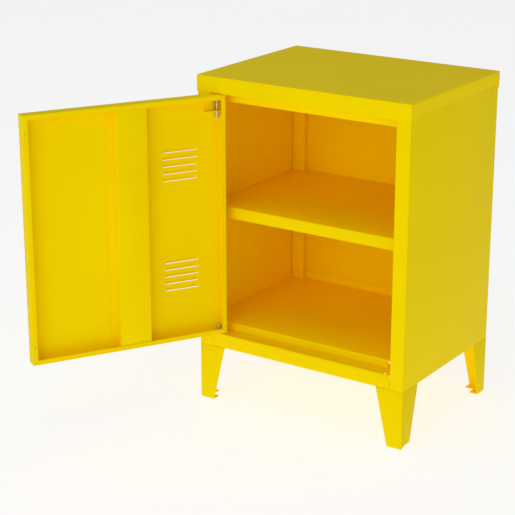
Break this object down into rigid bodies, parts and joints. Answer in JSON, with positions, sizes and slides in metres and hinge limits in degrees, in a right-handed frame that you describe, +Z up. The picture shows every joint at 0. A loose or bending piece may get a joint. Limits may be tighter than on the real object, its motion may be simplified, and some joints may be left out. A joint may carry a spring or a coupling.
{
  "type": "steel locker cabinet",
  "caption": "Small sheet-steel locker cabinet on tapered folded legs, with a louvred hinged door standing open, a base shelf and a middle shelf.",
  "frame": {"origin": "on the floor, in the middle of the front left leg's sole tab", "axes": "+X to the right along the front, +Y to the back, +Z up"},
  "size_m": [0.5356, 0.5955, 0.57],
  "materials": {
    "case_coat": "satin yellow powder coat",
    "door_coat": "satin yellow powder coat",
    "zinc": "bright zinc plate",
    "catch_plastic": "moulded, fine grain",
    "magnet": "bonded ferrite"
  },
  "bodies": {
    "cabinet": {"left_side_panel": "case_coat", "right_side_panel": "case_coat", "back_panel": "case_coat", "top_cover": "case_coat", "top_front_rail": "case_coat", "bottom_front_rail": "case_coat", "bottom_rear_rail": "case_coat", "base_shelf": "case_coat", "middle_shelf": "case_coat", "front_left_leg": "case_coat", "front_right_leg": "case_coat", "rear_left_leg": "case_coat", "rear_right_leg": "case_coat", "front_left_shelf_clip": "case_coat", "front_right_shelf_clip": "case_coat", "rear_left_shelf_clip": "case_coat", "rear_right_shelf_clip": "case_coat", "front_left_leg_rail_screw": "zinc", "front_left_leg_rail_nut": "zinc", "front_left_leg_side_screw": "zinc", "front_left_leg_side_nut": "zinc", "front_right_leg_rail_screw": "zinc", "front_right_leg_rail_nut": "zinc", "front_right_leg_side_screw": "zinc", "front_right_leg_side_nut": "zinc", "rear_left_leg_rail_screw": "zinc", "rear_left_leg_rail_nut": "zinc", "rear_left_leg_side_screw": "zinc", "rear_left_leg_side_nut": "zinc", "rear_right_leg_rail_screw": "zinc", "rear_right_leg_rail_nut": "zinc", "rear_right_leg_side_screw": "zinc", "rear_right_leg_side_nut": "zinc", "front_left_sole_rivet": "zinc", "front_right_sole_rivet": "zinc", "rear_left_sole_rivet": "zinc", "rear_right_sole_rivet": "zinc", "catch_frame": "catch_plastic", "catch_magnet": "magnet"},
    "door": {"door_panel": "door_coat", "door_stiffener": "door_coat", "top_hinge_bracket": "door_coat", "bottom_hinge_pin": "zinc"},
    "top_pin": {"top_hinge_pin": "zinc", "hinge_spring": "zinc"}
  },
  "joints": [
    {"name": "door_hinge", "type": "hinge", "parent": "cabinet", "child": "door", "pos_m": [0.0217, -0.0029, 0.3], "axis": [0, 0, 1], "range_deg": [-8, 120]},
    {"name": "top_pin_slide", "type": "slide", "parent": "door", "child": "top_pin", "axis": [0, 0, -1], "range_m": [0, 0.006], "stiffness_N_per_m": 300, "springref_m": -0.01, "deforming": ["hinge_spring"]}
  ]
}
